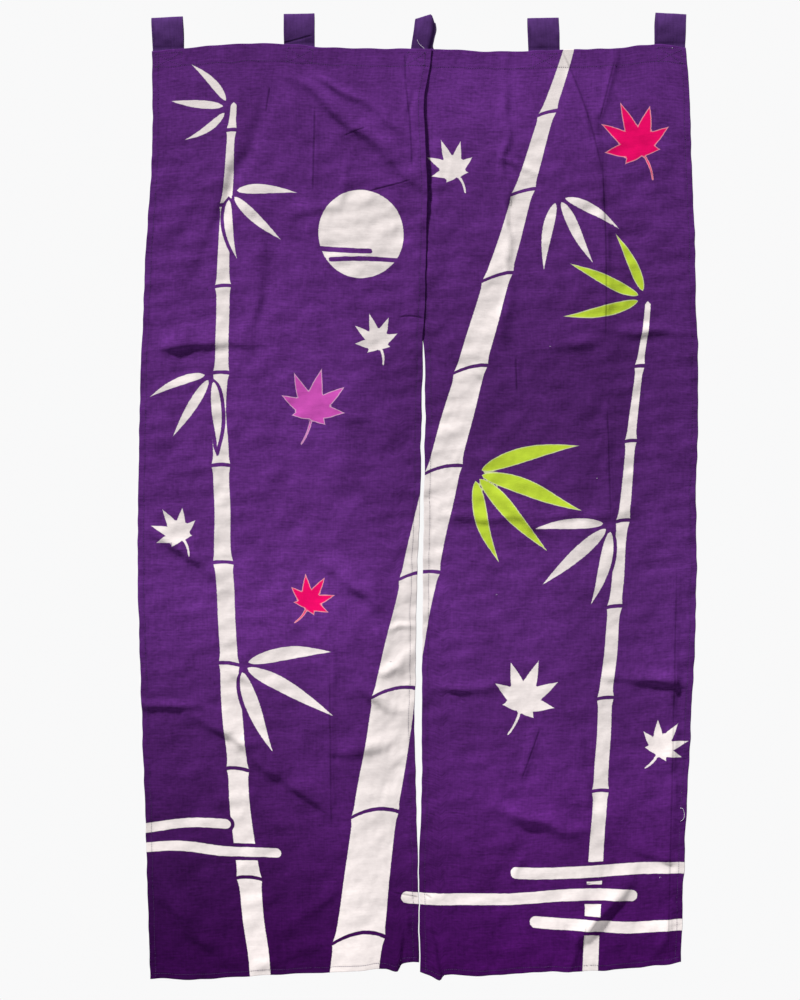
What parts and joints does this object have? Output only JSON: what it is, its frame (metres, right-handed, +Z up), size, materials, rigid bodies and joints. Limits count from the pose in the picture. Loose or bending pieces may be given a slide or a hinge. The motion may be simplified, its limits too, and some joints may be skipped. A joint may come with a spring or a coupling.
{
  "type": "noren curtain",
  "caption": "Long split curtain for a doorway: cotton panels sewn together at the top and open below as a slit, hung by flat cloth loops along the heading.",
  "frame": {"origin": "on the line of the rod that the curtain hangs from, inside the middle loop", "axes": "+Z up, +X to the right as seen from the front, the printed front faces -Y"},
  "size_m": [0.8702, 0.0339, 1.503],
  "materials": {
    "printed_cotton": "slub cotton, plain weave, dyed purple and printed on the front, matt",
    "loop_cotton": "slub cotton, plain weave with the grain turned, greyed purple, matt"
  },
  "bodies": {
    "root": {"panel_left": "printed_cotton", "panel_right": "printed_cotton", "loop_1": "loop_cotton", "loop_2": "loop_cotton", "loop_3": "loop_cotton", "loop_4": "loop_cotton", "loop_5": "loop_cotton"}
  },
  "joints": []
}
